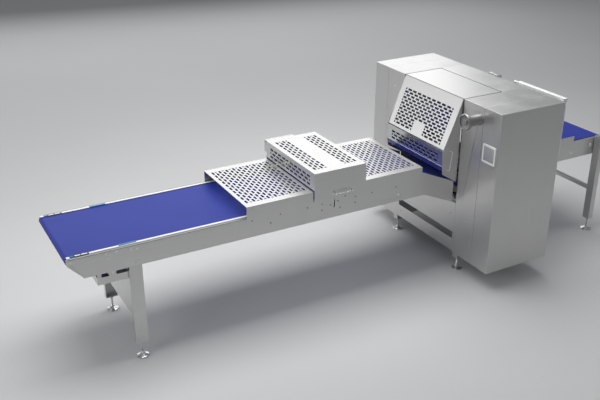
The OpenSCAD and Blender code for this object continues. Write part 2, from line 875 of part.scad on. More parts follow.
module hood_side() {
    xz_sheet(-hood_half, -hood_half + sheet) polygon([
        [grille_low_x - 3, fold_z], [grille_low_x - 3, grille_low_z], [grille_low_x + 5, grille_low_z - 70],
        [-14, grille_low_z - 158], [-6, grille_low_z - 152], [-6, head_h - 110],
        [hood_rear_x - 30, head_h - 40], [hood_rear_x - 2, head_h - 24], [hood_rear_x - 2, head_h - sheet - 0.5],
        [4, head_h - sheet - 0.5]
    ]);
    y_bar(hood_pin_x, hood_pin_z, -throat - sheet, -hood_half + sheet, hood_pin_r);
}

module hood_side_near() {
    placed() color(steel) hood_side();
}

module hood_side_far() {
    placed() color(steel) mirror([0, 1, 0]) hood_side();
}

flap_x = grille_low_x + 39;
flap_t = 4;
flap_z = belt_z + 16;
flap_h = 97;
flap_arm_y = hood_half - 84;

module inlet_flap() {
    placed() color([0.55, 0.62, 0.85]) union() {
        block([flap_x, -hood_half + sheet + 0.5, flap_z],
              [flap_x + flap_t, hood_half - sheet - 0.5, flap_z + flap_h]);
        for (y = [-flap_arm_y, 0, flap_arm_y])
            block([grille_low_x, y - 15, flap_z + flap_h - 4], [flap_x + flap_t, y + 15, flap_z + flap_h - 1]);
    }
}

// ---- outfeed conveyor ----

function mirrored(x) = head_depth - x;
out_guide = 54;
out_guide_x = head_depth + 643;

module outfeed_outline() {
    polygon([
        [mirrored(slope_low_x), plate_low - (slope_low_x - slope_foot_x) * tan(slope)],
        [mirrored(slope_foot_x), plate_low],
        [back_x - 60, plate_low],
        [back_x - 7, plate_low + 60],
        [back_x - 7, plate_top],
        [out_guide_x, plate_top],
        [out_guide_x, plate_top + out_guide],
        [mirrored(guard_end), plate_top + out_guide],
        [mirrored(plate_rise_x), belt_z + side_guide],
        [mirrored(slope_low_x), belt_z + side_guide - (slope_low_x - plate_rise_x) * tan(slope)]
    ]);
}

module outfeed_plates() {
    placed() color(steel) both_sides() difference() {
        union() {
            xz_sheet(-half, -half + plate_t) outfeed_outline();
            block([out_guide_x, -half + plate_t - 0.1, plate_top - 4], [back_x - 7, -strip_in, plate_top]);
        }
        y_bar(out_end_x, end_z, -half - 1, -half + 7, end_shaft_r + run_clear);
        y_bar(out_drive_x, drive_z, -half - 1, -half + 7, drive_shaft_r + run_clear);
    }
}

module outfeed_bed() {
    placed() color(steel) {
        bed_level(mirrored(kink_x) + 4, out_end_x - end_r - 8);
        translate([head_depth, 0, 0]) mirror([1, 0, 0]) {
            bed_sloping();
            both_sides() tail_plate();
        }
    }
}

outfeed_path = [
    [mirrored(tail_x), tail_z, end_r, 1], [mirrored(kink_x), end_z, end_r, 1], [out_end_x, end_z, end_r, 1],
    [out_bars[1], bar_z, bar_r, -1], [out_drive_x, drive_z, drive_r, 1], [out_bars[0], bar_z, bar_r, -1]
];

module outfeed_belt() {
    placed() color(belt_blue) belt_loop(outfeed_path);
}

module outfeed_tail_roller() {
    placed() belt_roller(mirrored(tail_x), tail_z, end_r, end_shaft_r, tail_plate_in + tail_plate_t);
}

module outfeed_drive_roller() {
    placed() belt_roller(out_drive_x, drive_z, drive_r, drive_shaft_r, half - 0.5);
}

module outfeed_end_roller() {
    placed() belt_roller(out_end_x, end_z, end_r, end_shaft_r, half - 0.5);
}

module outfeed_legs() {
    placed() color(steel) {
        both_sides() difference() {
            block([out_leg_x - 25, -half - 74, leg_bottom], [out_leg_x + 25, -half - 4, plate_top + 20]);
            block([out_leg_x - 22, -half - 71, leg_bottom + 8], [out_leg_x + 22, -half - 7, plate_top + 17]);
        }
        block([out_leg_x - 15, -half - 4.1, 380], [out_leg_x + 15, half + 4.1, 410]);
        both_sides() for (z = [plate_low + 38, plate_top - 32]) y_bar(out_leg_x, z, half, half + 4.1, 14);
    }
}

// ---- what is drawn ----

front_panel();
rear_panel();
side_frames();
column_near();
column_far();
cover_near();
cover_far();
rear_top_cover();
hmi_bezel();
hmi_screen();
handwheel_housing();
handwheel();
lower_bearings();
lower_scraper();
lower_gearmotor();
carriages();
upper_gearmotor();
upper_roller();
lower_roller();
head_feet();
rear_trunking();
infeed_plate_near();
infeed_plate_far();
infeed_bed();
infeed_belt();
cross_bars();
edge_strips();
edge_fittings();
infeed_legs();
leg_panel();
belt_pan();
conveyor_feet();
frame_bolts();
infeed_end_roller();
infeed_drive_roller();
infeed_tail_roller();
tension_roller();
front_grille();
rear_grille();
skirt_near();
skirt_far();
box_top();
box_wall_front();
box_wall_rear();
box_side_near();
box_side_far();
box_handle();
hood_top();
hood_grille();
hood_lower_grille();
hood_side_near();
hood_side_far();
inlet_flap();
outfeed_plates();
outfeed_bed();
outfeed_belt();
outfeed_tail_roller();
outfeed_drive_roller();
outfeed_end_roller();
outfeed_legs();
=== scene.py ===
import math

import bmesh
import bpy
from mathutils import Matrix, Vector


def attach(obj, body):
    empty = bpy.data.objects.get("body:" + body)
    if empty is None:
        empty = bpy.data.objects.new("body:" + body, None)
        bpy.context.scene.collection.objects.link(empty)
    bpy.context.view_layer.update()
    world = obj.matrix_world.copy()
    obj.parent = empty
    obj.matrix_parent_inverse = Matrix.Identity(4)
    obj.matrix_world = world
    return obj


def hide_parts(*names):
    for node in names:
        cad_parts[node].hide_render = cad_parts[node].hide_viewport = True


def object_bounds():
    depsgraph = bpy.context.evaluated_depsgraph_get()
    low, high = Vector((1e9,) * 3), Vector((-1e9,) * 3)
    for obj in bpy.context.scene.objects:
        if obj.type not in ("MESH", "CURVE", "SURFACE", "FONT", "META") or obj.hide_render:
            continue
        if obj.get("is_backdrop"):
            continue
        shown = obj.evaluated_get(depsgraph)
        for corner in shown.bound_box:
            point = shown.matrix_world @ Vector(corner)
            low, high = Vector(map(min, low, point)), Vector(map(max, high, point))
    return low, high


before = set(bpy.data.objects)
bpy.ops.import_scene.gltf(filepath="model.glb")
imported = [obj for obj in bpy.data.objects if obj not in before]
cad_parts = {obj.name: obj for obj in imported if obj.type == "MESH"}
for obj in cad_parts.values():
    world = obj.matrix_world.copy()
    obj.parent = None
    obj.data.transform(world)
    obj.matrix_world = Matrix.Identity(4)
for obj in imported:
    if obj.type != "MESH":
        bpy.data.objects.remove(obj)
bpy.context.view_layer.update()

# ---------------------------------------------------------------- sizes, in millimetres from the head's front
HEAD_X = 753.5          # where the head's front plane stands in the shared frame
HEAD_DEPTH = 618
HEAD_TOP = 1460
SHEET = 3
THROAT = 388
COLUMN_OUT = 620
CABINET_Z = 144
HALF = 370
BELT_Z = 877
STRIP_IN = 330
STRIP_OUT = 350
LEDGE_IN = 346.5
PLATE_TOP = 872
PLATE_LOW = 722
STRIP_Z = 880
STRIP_X0 = -2946
GUARD_X0 = -1844
GUARD_X1 = -345
GUARD_Z = 963
SKIRT_OUT = 373.3
BOX_X0 = -1307
BOX_LEN = 437
BOX_X1 = BOX_X0 + BOX_LEN
BOX_HALF = 382
BOX_Z = 1105
BOX_SEAM_Z = 886
SLOT_L = 45
SLOT_W = 14.5
SLOT_PITCH = 64
SLOT_COUNT = 10
ROW_PITCH = 28.6
GRILLE_RIM = 30
BOX_RIM = 49
HOOD_FIRST_ROW = 33
HOOD_ROW_PITCH = 24
HOOD_HALF = 378
HOOD_REAR = 366
FOLD_X = -152
FOLD_Z = 1062
GRILLE_LOW_X = -157
GRILLE_LOW_Z = 932
FLAP_Z = BELT_Z + 16
WHEEL_Y = -572
WHEEL_Z = 1355
TUBE_R = 42
TUBE_L = 112
LEG_X = -2658
INFEED_X = -3107
OUT_LEG_X = 1530
HMI_Y = -717
HMI_Z = 1118
HMI_S = 146
MM = 0.001


def at(x, y, z):
    """A point given from the head's front, as metres in the shared frame."""
    return Vector(((x + HEAD_X) * MM, y * MM, z * MM))


# ---------------------------------------------------------------- materials
class Wire:
    """One value inside a material; arithmetic on it adds the nodes."""

    def __init__(self, look, socket):
        self.look = look
        self.socket = socket

    def _sum(self, kind, first, second):
        return self.look.node("ShaderNodeMath", {"operation": kind}, {0: first, 1: second})

    def __add__(self, other):
        return self._sum("ADD", self, other)

    def __radd__(self, other):
        return self._sum("ADD", other, self)

    def __sub__(self, other):
        return self._sum("SUBTRACT", self, other)

    def __rsub__(self, other):
        return self._sum("SUBTRACT", other, self)

    def __mul__(self, other):
        return self._sum("MULTIPLY", self, other)

    def __rmul__(self, other):
        return self._sum("MULTIPLY", other, self)

    def __pow__(self, other):
        return self._sum("POWER", self, other)


class Look:
    """A material for one finish of the machine."""

    def __init__(self, name):
        self.material = bpy.data.materials.new(name)
        self.material.use_nodes = True
        self.tree = self.material.node_tree
        self.shader = self.tree.nodes["Principled BSDF"]
        self.place = self.node("ShaderNodeTexCoord", out="Object")

    def node(self, kind, settings=None, inputs=None, out=0):
        made = self.tree.nodes.new(kind)
        for key, value in (settings or {}).items():
            if key == "stops":
                for element, (spot, colour) in zip(made.color_ramp.elements, value):
                    element.position = spot
                    element.color = colour
            else:
                setattr(made, key, value)
        for key, value in (inputs or {}).items():
            self.feed(made.inputs[key], value)
        return Wire(self, made.outputs[out])

    def feed(self, socket, value):
        if isinstance(value, Wire):
            self.tree.links.new(value.socket, socket)
        else:
            socket.default_value = value

    def noise(self, stretch, detail=3.0, rough=0.55):
        """Cloudy noise whose features per metre are given along X, Y and Z."""
        spread = self.node("ShaderNodeMapping", None, {"Vector": self.place, "Scale": stretch})
        return self.node("ShaderNodeTexNoise", None,
                         {"Vector": spread, "Scale": 1.0, "Detail": detail, "Roughness": rough})

    def band(self, value, low, high):
        """0 below low and 1 above high, smooth between."""
        return self.node("ShaderNodeMapRange", {"interpolation_type": "SMOOTHSTEP"},
                         {"Value": value, "From Min": low, "From Max": high})

    def blend(self, share, first, second):
        return self.node("ShaderNodeMix", {"data_type": "RGBA"}, {0: share, 6: first, 7: second}, out=2)

    def bump(self, height, strength, depth):
        return self.node("ShaderNodeBump", None, {"Height": height, "Strength": strength, "Distance": depth})

    def shade(self, **sockets):
        for key, value in sockets.items():
            self.feed(self.shader.inputs[key.replace("_", " ")], value)
        return self.material


def rgb(r, g, b):
    return (r, g, b, 1.0)


BRUSH = {"x": (2.2, 260.0, 260.0), "y": (260.0, 2.2, 260.0), "z": (260.0, 260.0, 2.2)}


def brushed_steel(name, along, tone, rough, seam=None):
    """Stainless sheet ground along one axis, with wiping marks and small scratches.

    seam is how far out from the middle a folded sheet edge gets a painted highlight line."""
    look = Look(name)
    brush = look.noise(BRUSH[along], 4.0, 0.62)
    fine = look.noise(tuple(3.3 * s for s in BRUSH[along]), 2.0, 0.5)
    cloud = look.noise((2.6, 2.6, 2.1), 4.0, 0.6)
    wipes = look.band(look.noise((7.0, 5.0, 3.0), 5.0, 0.62), 0.52, 0.70)
    scratch = look.band(look.noise((33.0, 41.0, 5.0), 6.0, 0.72), 0.665, 0.70)
    shadow = rgb(tone * 0.84, tone * 0.84, tone * 0.83)
    light = rgb(tone * 1.06, tone * 1.055, tone * 1.04)
    ground = look.blend(brush * 0.45 + cloud * 0.55, shadow, light)
    wear_and_seam_highlight = look.blend(scratch * 0.30, ground, rgb(tone * 1.12, tone * 1.12, tone * 1.11))
    # painted highlight: with seam set, a thin white line is painted into the base colour along the folded
    # edge at that distance out
    if seam:
        spread = look.node("ShaderNodeSeparateXYZ", None, {"Vector": look.place}, out="Y")
        off = look.node("ShaderNodeMath", {"operation": "ABSOLUTE"}, {0: spread})
        rub_wear_and_seam_highlight = look.band(off, seam - 0.003, seam - 0.001) - look.band(off, seam + 0.001, seam + 0.003)
        wear_and_seam_highlight = look.blend(rub_wear_and_seam_highlight * 0.8, wear_and_seam_highlight, rgb(1.0, 1.0, 1.0))
    return look.shade(
        Base_Color=wear_and_seam_highlight,
        Metallic=0.86,
        Roughness=rough + (brush - 0.5) * 0.20 + (cloud - 0.5) * 0.16 + wipes * 0.05,
        Normal=look.bump(brush * 0.7 + fine * 0.5 - scratch * 0.35, 0.10, 0.0006),
        Specular_IOR_Level=0.5,
    )


def polished_steel(name):
    """Turned stainless: feet, bolts, wheel and handle."""
    look = Look(name)
    rings = look.noise((90.0, 90.0, 420.0), 3.0, 0.5)
    cloud = look.noise((14.0, 14.0, 14.0), 3.0, 0.6)
    tint = look.blend(cloud, rgb(0.60, 0.60, 0.595), rgb(0.80, 0.80, 0.79))
    return look.shade(
        Base_Color=tint,
        Metallic=0.94,
        Roughness=0.16 + rings * 0.10 + cloud * 0.12,
        Normal=look.bump(rings, 0.08, 0.0003),
    )


def food_belt(name):
    """Blue belt: fine fabric print, lengthwise wear and a trace of flour."""
    look = Look(name)
    warp = look.node("ShaderNodeTexWave", {"wave_type": "BANDS", "bands_direction": "X"},
                     {"Vector": look.place, "Scale": 170.0, "Distortion": 0.4})
    weft = look.node("ShaderNodeTexWave", {"wave_type": "BANDS", "bands_direction": "Y"},
                     {"Vector": look.place, "Scale": 170.0, "Distortion": 0.4})
    tracks = look.noise((0.6, 34.0, 9.0), 4.0, 0.6)
    cloud = look.noise((3.0, 3.4, 3.0), 4.0, 0.55)
    speck = look.band(look.noise((190.0, 190.0, 190.0), 2.0, 0.5), 0.66, 0.74)
    flour = look.band(look.noise((4.5, 9.0, 5.0), 6.0, 0.68), 0.52, 0.78)
    cloth = look.blend(cloud * 0.6 + tracks * 0.4, rgb(0.012, 0.024, 0.215), rgb(0.024, 0.042, 0.300))
    dusted = look.blend(flour * 0.02 + speck * flour * 0.12, cloth, rgb(0.55, 0.57, 0.70))
    return look.shade(
        Base_Color=dusted,
        Metallic=0.0,
        Roughness=0.46 + tracks * 0.14 + flour * 0.12,
        Normal=look.bump(warp * weft + tracks * 0.5, 0.16, 0.0005),
        Specular_IOR_Level=0.22,
    )


def moulded_plastic(name, low, high, rough):
    """Cut or moulded plastic: faint mottling, saw marks and rubbed spots."""
    look = Look(name)
    mottle = look.noise((11.0, 11.0, 11.0), 4.0, 0.6)
    grain = look.noise((420.0, 420.0, 420.0), 2.0, 0.5)
    rub_wear_and_seam_highlight = look.band(look.noise((3.0, 60.0, 40.0), 5.0, 0.66), 0.55, 0.74)
    return look.shade(
        Base_Color=look.blend(mottle * 0.7 + rub_wear_and_seam_highlight * 0.3, low, high),
        Roughness=rough + (mottle - 0.5) * 0.14 - rub_wear_and_seam_highlight * 0.08,
        Normal=look.bump(grain * 0.6 + rub_wear_and_seam_highlight * 0.4, 0.14, 0.0004),
        Specular_IOR_Level=0.5,
    )


def black_rubber(name):
    look = Look(name)
    mottle = look.noise((30.0, 30.0, 30.0), 5.0, 0.65)
    return look.shade(
        Base_Color=look.blend(mottle, rgb(0.012, 0.012, 0.013), rgb(0.040, 0.040, 0.042)),
        Roughness=0.55 + mottle * 0.25,
        Normal=look.bump(mottle, 0.25, 0.0004),
    )


def touch_screen(name):
    """Panel glass: grey display that fades a little from corner to corner."""
    look = Look(name)
    split = look.node("ShaderNodeSeparateXYZ", None, {"Vector": look.place}, out="Z")
    fade = look.band(split, 1.045, 1.19)
    smear = look.noise((25.0, 25.0, 12.0), 5.0, 0.6)
    face = look.blend(fade, rgb(0.30, 0.30, 0.32), rgb(0.40, 0.40, 0.425))
    return look.shade(
        Base_Color=face,
        Roughness=0.10 + smear * 0.16,
        Normal=look.bump(smear, 0.03, 0.0004),
        Coat_Weight=0.6,
        Coat_Roughness=0.05,
    )


def clear_flap(name):
    """Tinted see-through plastic with wiping haze."""
    look = Look(name)
    haze = look.noise((9.0, 6.0, 18.0), 5.0, 0.62)
    streak = look.noise((20.0, 140.0, 3.0), 3.0, 0.5)
    return look.shade(
        Base_Color=look.blend(haze, rgb(0.030, 0.035, 0.20), rgb(0.055, 0.065, 0.29)),
        Roughness=0.10 + haze * 0.20,
        Alpha=0.66 + haze * 0.22,
        Normal=look.bump(streak, 0.05, 0.0004),
        Coat_Weight=0.4,
    )


def cast_metal(name, low, high, rough, metal):
    look = Look(name)
    sand = look.noise((150.0, 150.0, 150.0), 4.0, 0.6)
    cloud = look.noise((8.0, 8.0, 8.0), 4.0, 0.6)
    oil = look.band(look.noise((5.0, 5.0, 9.0), 5.0, 0.66), 0.50, 0.72)
    return look.shade(
        Base_Color=look.blend(cloud * 0.7 + oil * 0.3, high, low),
        Metallic=metal,
        Roughness=rough + (cloud - 0.5) * 0.2 - oil * 0.12,
        Normal=look.bump(sand, 0.22, 0.0006),
    )


STEEL_X = brushed_steel("steel_ground_lengthwise", "x", 0.66, 0.34)
STEEL_Y = brushed_steel("steel_ground_crosswise", "y", 0.68, 0.33)
STEEL_Z = brushed_steel("steel_ground_upright", "z", 0.62, 0.33)
# the covers carry a painted highlight line along their folded edge 0.618 m out from the middle
COVER = brushed_steel("cover_steel_upright", "z", 0.62, 0.33, 0.618)
MIRROR = brushed_steel("bright_rolled_steel", "y", 0.64, 0.16)
DULL = brushed_steel("dull_turned_steel", "x", 0.36, 0.42)
POLISHED = polished_steel("turned_stainless")
PALE = cast_metal("zinc_plated", rgb(0.62, 0.63, 0.64), rgb(0.88, 0.89, 0.90), 0.42, 0.35)
BELT = food_belt("blue_food_belt")
WHITE = moulded_plastic("white_strip_plastic", rgb(0.74, 0.74, 0.72), rgb(0.87, 0.87, 0.86), 0.42)
CYAN = moulded_plastic("cyan_pad_plastic", rgb(0.008, 0.13, 0.32), rgb(0.015, 0.20, 0.44), 0.38)
RUBBER = black_rubber("black_rubber")
SCREEN = touch_screen("panel_glass")
FLAP = clear_flap("tinted_flap")
IRON = cast_metal("machined_iron", rgb(0.10, 0.10, 0.11), rgb(0.24, 0.24, 0.25), 0.45, 0.8)
PAINT = cast_metal("motor_paint", rgb(0.045, 0.06, 0.08), rgb(0.10, 0.13, 0.16), 0.40, 0.0)

# ---------------------------------------------------------------- making and placing pieces
DONE = []


def settle(obj, material, body, stands_for=(), smooth=True):
    """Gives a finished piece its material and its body."""
    mesh = obj.data
    mesh.materials.clear()
    mesh.materials.append(material)
    for face in mesh.polygons:
        face.use_smooth = smooth
    if smooth:
        mesh.set_sharp_from_angle(angle=math.radians(32))
    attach(obj, body)
    if stands_for:
        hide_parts(*stands_for)
    DONE.append(obj)
    return obj


def from_bmesh(name, bm):
    mesh = bpy.data.meshes.new(name)
    bmesh.ops.recalc_face_normals(bm, faces=bm.faces)
    bm.to_mesh(mesh)
    bm.free()
    obj = bpy.data.objects.new(name, mesh)
    bpy.context.scene.collection.objects.link(obj)
    return obj


def add_block(bm, low, high, edge=0.8, rounds=2):
    """A box between two corners (millimetres from the head's front) with eased edges."""
    low, high = at(*low), at(*high)
    made = bmesh.ops.create_cube(bm, size=1.0)["verts"]
    for v in made:
        v.co = Vector([low[i] if v.co[i] < 0 else high[i] for i in range(3)])
    if edge:
        edges = list({e for v in made for e in v.link_edges})
        bmesh.ops.bevel(bm, geom=edges, offset=edge * MM, segments=rounds, profile=0.5,
                        affect="EDGES", clamp_overlap=True)


def add_lathe(bm, profile, foot, direction, steps=28):
    """A turned piece: profile is (distance along, radius) in millimetres from its foot."""
    along = Vector(direction).normalized()
    side = along.orthogonal().normalized()
    other = along.cross(side)
    rings = []
    for reach, radius in profile:
        centre = at(*foot) + along * reach * MM
        if radius <= 0:
            rings.append([bm.verts.new(centre)])
            continue
        rings.append([
            bm.verts.new(centre + (side * math.cos(a) + other * math.sin(a)) * radius * MM)
            for a in (2 * math.pi * k / steps for k in range(steps))
        ])
    for first, second in zip(rings, rings[1:]):
        for k in range(steps):
            n = (k + 1) % steps
            loop = [
                first[k % len(first)], first[n % len(first)], second[n % len(second)], second[k % len(second)]
            ]
            loop = [v for i, v in enumerate(loop) if v not in loop[:i]]
            if len(loop) > 2:
                bm.faces.new(loop)
    for ring in (rings[0], rings[-1]):
        if len(ring) > 1:
            bm.faces.new(ring)


def add_tube(bm, points, radius, steps=12):
    """A bent rod through the points (millimetres), with closed ends."""
    spots = [at(*p) for p in points]
    rings = []
    side = None
    for i, spot in enumerate(spots):
        before, after = spots[max(i - 1, 0)], spots[min(i + 1, len(spots) - 1)]
        along = (after - before).normalized()
        if side is None:
            side = along.orthogonal().normalized()
        side = (side - along * side.dot(along)).normalized()
        other = along.cross(side)
        rings.append([
            bm.verts.new(spot + (side * math.cos(a) + other * math.sin(a)) * radius * MM)
            for a in (2 * math.pi * k / steps for k in range(steps))
        ])
    for first, second in zip(rings, rings[1:]):
        for k in range(steps):
            n = (k + 1) % steps
            bm.faces.new([first[k], first[n], second[n], second[k]])
    bm.faces.new(rings[0])
    bm.faces.new(rings[-1])


def bend(corner, start, end, radius, steps=6):
    """Points that round a corner between two straight runs."""
    c, s, e = Vector(corner), Vector(start), Vector(end)
    a, b = c + (s - c).normalized() * radius, c + (e - c).normalized() * radius
    return [a * (1 - t) ** 2 + c * 2 * t * (1 - t) + b * t * t for t in (k / steps for k in range(steps + 1))]


def rounded_slot(x, y, long_side, short_side, corner=3.2, arc=2):
    """Outline of one punched slot, long along Y, with rounded corners."""
    wide, tall = short_side / 2 - corner, long_side / 2 - corner
    outline = []
    for cx, cy, turn in ((1, 1, 0), (-1, 1, 90), (-1, -1, 180), (1, -1, 270)):
        for k in range(arc + 1):
            a = math.radians(turn + 90 * k / arc)
            outline.append((x + cx * wide + corner * math.cos(a), y + cy * tall + corner * math.sin(a)))
    return outline


def slot_rows(height, first, rows, pitch, short_first=False, patch=None):
    """Slots like brickwork: rows of full slots take turns with rows that begin and end with a short one.

    patch is the plain area (low X of the rows above it, low Y, high Y)."""
    field = (SLOT_COUNT - 1) * SLOT_PITCH + SLOT_L
    start = (height - field) / 2
    spots = []
    for i in range(rows):
        moved = (i + short_first) % 2
        x = first + i * pitch
        areas = [(start, start + field)]
        if patch and x < patch[0]:
            areas = [(start, patch[1]), (patch[2], start + field)]
        for j in range(SLOT_COUNT + 1):
            y = start + (j - moved / 2) * SLOT_PITCH
            for area in areas:
                low, high = max(y, area[0]), min(y + SLOT_L, area[1])
                if high - low > 5:
                    spots.append((x, (low + high) / 2, high - low))
    return spots


def punched_sheet(name, width, height, spots, place, body, stands_for, material, corner=4):
    """A sheet with rounded slots and softened punched edges, which place puts in the frame."""
    curve = bpy.data.curves.new(name, "CURVE")
    curve.dimensions = "2D"
    curve.fill_mode = "BOTH"
    curve.extrude = (SHEET / 2 - 0.5) * MM
    curve.bevel_depth = 0.5 * MM
    curve.bevel_resolution = 1
    curve.offset = -0.5 * MM
    rim = []
    for cx, cy, turn in ((width - corner, height - corner, 0), (corner, height - corner, 90),
                         (corner, corner, 180), (width - corner, corner, 270)):
        for k in range(4):
            a = math.radians(turn + 30 * k)
            rim.append((cx + corner * math.cos(a), cy + corner * math.sin(a)))
    for outline in [rim] + [rounded_slot(x, y, length + 2.2, SLOT_W + 2.2) for x, y, length in spots]:
        line = curve.splines.new("POLY")
        line.points.add(len(outline) - 1)
        for point, (x, y) in zip(line.points, outline):
            point.co = (x * MM, y * MM, 0, 1)
        line.use_cyclic_u = True
    source = bpy.data.objects.new(name + "_line", curve)
    bpy.context.scene.collection.objects.link(source)
    bpy.context.view_layer.update()
    mesh = bpy.data.meshes.new_from_object(source.evaluated_get(bpy.context.evaluated_depsgraph_get()))
    mesh.name = name
    bpy.data.objects.remove(source)
    mesh.transform(place)
    obj = bpy.data.objects.new(name, mesh)
    bpy.context.scene.collection.objects.link(obj)
    return settle(obj, material, body, stands_for)


def lay(x, y, z, across, up):
    """Puts a sheet's local X along across, its Y along the machine's Y, its thickness along up."""
    across, up = Vector(across).normalized(), Vector(up).normalized()
    origin = at(x, y, z) + up * SHEET / 2 * MM
    side = Vector((0, 1, 0))
    return Matrix((
        (across.x, side.x, up.x, origin.x),
        (across.y, side.y, up.y, origin.y),
        (across.z, side.z, up.z, origin.z),
        (0, 0, 0, 1),
    ))


# ---------------------------------------------------------------- guards over the belt
for name, x0, x1, node in (("guard_grille_front", GUARD_X0, BOX_X0 - 4, "front_grille"),
                           ("guard_grille_rear", BOX_X1 + 4, GUARD_X1, "rear_grille")):
    wide = x1 - x0
    rows = int((wide - 2 * GRILLE_RIM - SLOT_W) / ROW_PITCH) + 1
    punched_sheet(name, wide, 2 * SKIRT_OUT,
                  slot_rows(2 * SKIRT_OUT, (wide - (rows - 1) * ROW_PITCH) / 2, rows, ROW_PITCH),
                  lay(x0, -SKIRT_OUT, GUARD_Z - SHEET, (1, 0, 0), (0, 0, 1)), "root", [node], STEEL_Y, 1.5)

top_spots = slot_rows(2 * BOX_HALF, BOX_RIM, 4, ROW_PITCH)
top_spots += slot_rows(2 * BOX_HALF, BOX_LEN - BOX_RIM - 3 * ROW_PITCH, 4, ROW_PITCH, True)
punched_sheet("raised_cover_top", BOX_LEN, 2 * BOX_HALF, top_spots,
              lay(BOX_X0, -BOX_HALF, BOX_Z - SHEET, (1, 0, 0), (0, 0, 1)),
              "raised_cover", ["box_top"], STEEL_Y, 1.5)
wall = BOX_Z - SHEET - GUARD_Z - 9
inner = 2 * BOX_HALF - 2 * SHEET
punched_sheet("raised_cover_front", wall, inner, slot_rows(inner, wall * 0.21, 3, wall * 0.23),
              lay(BOX_X0 + SHEET, -BOX_HALF + SHEET, GUARD_Z + 9, (0, 0, 1), (-1, 0, 0)),
              "raised_cover", ["box_wall_front"], STEEL_Y, 1.5)

# ---------------------------------------------------------------- hood
hood_inner = 2 * HOOD_HALF - 2 * SHEET - 1
slope_run, slope_rise = 4 - FOLD_X, HEAD_TOP - SHEET - FOLD_Z
slope_len = math.hypot(slope_run, slope_rise)
plain_half = SLOT_PITCH + (SLOT_PITCH - SLOT_L) / 2 - 1
patch = (HOOD_FIRST_ROW + 3.5 * HOOD_ROW_PITCH, hood_inner / 2 - plain_half, hood_inner / 2 + plain_half)
hood_spots = slot_rows(hood_inner, HOOD_FIRST_ROW, 13, HOOD_ROW_PITCH, True, patch)
up_slope = Vector((slope_run, 0, slope_rise)).normalized()
out_slope = Vector((-slope_rise, 0, slope_run)).normalized()
punched_sheet("hood_sloping_grille", slope_len - 3, hood_inner, hood_spots,
              lay(FOLD_X + up_slope.x, -HOOD_HALF + SHEET + 0.5, FOLD_Z + up_slope.z, up_slope, out_slope),
              "hood", ["hood_grille"], STEEL_Y, 1.5)
drop = FOLD_Z - GRILLE_LOW_Z - 4
punched_sheet("hood_upright_grille", drop, hood_inner, slot_rows(hood_inner, drop * 0.18, 3, drop * 0.22),
              lay(GRILLE_LOW_X, -HOOD_HALF + SHEET + 0.5, GRILLE_LOW_Z, (0, 0, 1), (-1, 0, 0)),
              "hood", ["hood_lower_grille"], MIRROR, 1.5)

# ---------------------------------------------------------------- bolts
def bolt_rows():
    """Each bolt on a side plate or skirt: x, z, how far out its face is, and its size."""
    leg = [(LEG_X + dx, z, HALF, 7) for dx in (-20, 20) for z in (PLATE_LOW + 32, PLATE_TOP - 24)]
    nose = [(INFEED_X + 260, PLATE_TOP - 15, HALF, 7), (INFEED_X + 332, PLATE_TOP - 11, HALF, 7),
            (INFEED_X + 279, PLATE_TOP - 48, HALF, 7)]
    stay = [(GUARD_X0 + 187, BELT_Z - 79), (BOX_X0 + 70, BELT_Z - 77), (BOX_X0 + 141, BELT_Z - 51),
            (BOX_X0 + 224, BELT_Z - 87), (BOX_X1 - 81, BELT_Z - 77)]
    skirt = [(x, BELT_Z - 27) for x in (GUARD_X0 + 41, GUARD_X0 + 263, BOX_X0 - 53, BOX_X0 + 69, BOX_X1 - 81,
                                       BOX_X1 + 65, GUARD_X1 - 242)]
    cover = [(BOX_X0 + 205, BELT_Z - 29), (BOX_X0 + 264, BELT_Z - 1)]
    return leg + nose, [(x, z, HALF, 5) for x, z in stay] + [(x, z, SKIRT_OUT, 5) for x, z in skirt + cover]


def dome_head(size):
    """Profile of a washer and a domed head with a socket in it."""
    return [
        (0, size * 1.25), (size * 0.12, size * 1.25), (size * 0.16, size), (size * 0.42, size * 0.9),
        (size * 0.6, size * 0.62), (size * 0.64, size * 0.42), (size * 0.34, size * 0.36), (size * 0.3, 0)
    ]


for name, rows, finish, nodes in (("plate_bolts", bolt_rows()[0], PALE, ["frame_bolts"]),
                                  ("skirt_screws", bolt_rows()[1], DULL, [])):
    bm = bmesh.new()
    for x, z, out, size in rows:
        for side in (-1, 1):
            add_lathe(bm, dome_head(size), (x, side * out, z), (0, side, 0), 16)
    settle(from_bmesh(name, bm), finish, "root", nodes)

# ---------------------------------------------------------------- levelling feet
FOOT_PROFILE = [
    (0, 41), (1, 44), (5, 45), (8, 44), (11, 39), (15, 28), (19, 18), (21, 14.5), (23, 12.5), (27, 12),
    (30, 9.5)
]


def add_foot(bm, x, y, top):
    add_lathe(bm, FOOT_PROFILE + [(31, 0)], (x, y, 0), (0, 0, 1), 36)
    thread = [(29, 0), (29, 8)]
    turns = int((top - 46) / 4)
    for k in range(turns):
        thread += [(31 + 4 * k, 8), (33 + 4 * k, 7.1)]
    add_lathe(bm, thread + [(top - 14, 8), (top - 14, 0)], (x, y, 0), (0, 0, 1), 18)
    nut = [
        (top - 14, 0), (top - 14, 13), (top - 12.5, 14.4), (top - 2, 14.4), (top - 0.5, 13), (top - 0.5, 0)
    ]
    add_lathe(bm, nut, (x, y, 0), (0, 0, 1), 6)


bm = bmesh.new()
for x in (34, HEAD_DEPTH - 34):
    for side in (-1, 1):
        add_foot(bm, x, side * (THROAT + 35), 103)
settle(from_bmesh("head_levelling_feet", bm), POLISHED, "root", ["head_feet"])
bm = bmesh.new()
for side in (-1, 1):
    add_foot(bm, LEG_X, side * 345.7, 110)
    add_foot(bm, OUT_LEG_X, side * 409, 110)
settle(from_bmesh("conveyor_levelling_feet", bm), POLISHED, "root", ["conveyor_feet"])

